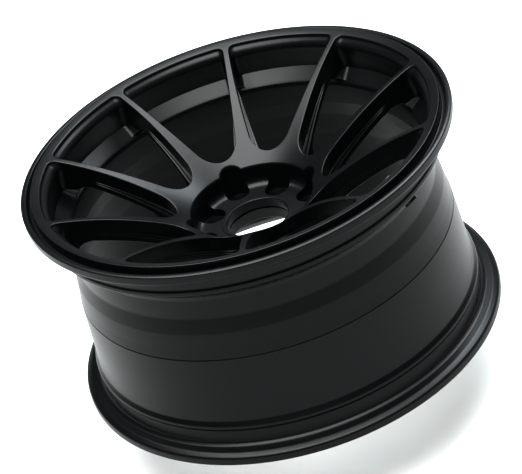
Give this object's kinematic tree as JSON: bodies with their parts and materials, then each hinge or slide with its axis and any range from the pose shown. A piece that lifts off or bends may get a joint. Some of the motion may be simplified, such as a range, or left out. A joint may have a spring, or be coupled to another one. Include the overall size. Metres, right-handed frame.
{
  "type": "forged racing wheel rim",
  "caption": "Deep-dish forged wheel rim with slim straight spokes, a recessed stud pad, a long inner barrel, a hub-centring ring and a screw-on capped tyre valve.",
  "frame": {"origin": "centre of the rear flange's outer plane, on the wheel axis, where the rim stands on its rear flange", "axes": "+Z along the wheel axis towards the outboard face, +X along spoke_01"},
  "size_m": [0.4402, 0.4402, 0.2333],
  "materials": {
    "satin_black": "satin black coating over forged aluminium alloy",
    "spigot_plastic": "dark moulded plastic",
    "valve_metal": "black anodised metal",
    "cap_plastic": "black moulded plastic",
    "seal_rubber": "soft black rubber",
    "core_brass": "bare brass",
    "spring_steel": "plated spring wire"
  },
  "bodies": {
    "rim": {"hub": "satin_black", "spoke_01": "satin_black", "spoke_02": "satin_black", "spoke_03": "satin_black", "spoke_04": "satin_black", "spoke_05": "satin_black", "spoke_06": "satin_black", "spoke_07": "satin_black", "spoke_08": "satin_black", "spoke_09": "satin_black", "spoke_10": "satin_black", "front_rim": "satin_black", "inner_barrel": "satin_black", "spigot_ring": "spigot_plastic", "valve_stem": "valve_metal", "valve_grommet": "seal_rubber", "valve_washer": "valve_metal", "valve_nut": "valve_metal", "core_body": "core_brass", "core_seal": "seal_rubber", "core_spring": "spring_steel"},
    "cap_disc": {"cap_seal": "seal_rubber"},
    "cap": {"valve_cap": "cap_plastic"},
    "core_pin": {"core_pin": "core_brass"}
  },
  "joints": [
    {"name": "cap_travel", "type": "slide", "parent": "rim", "child": "cap_disc", "axis": [-0.6437, 0.2092, 0.7361], "range_m": [0, 0.00794]},
    {"name": "cap_spin", "type": "hinge", "parent": "cap_disc", "child": "cap", "pos_m": [0.18046, -0.05864, 0.1901], "axis": [-0.6437, 0.2092, 0.7361], "range_deg": [0, 3600]},
    {"name": "core_press", "type": "slide", "parent": "rim", "child": "core_pin", "axis": [0.6437, -0.2092, -0.7361], "range_m": [0, 0.0011], "stiffness_N_per_m": 400, "springref_m": -0.0012, "deforming": ["core_spring"]}
  ],
  "couplings": [
    {"joint": "cap_spin", "follows": "cap_travel", "rad_per_m": 7915.8}
  ]
}
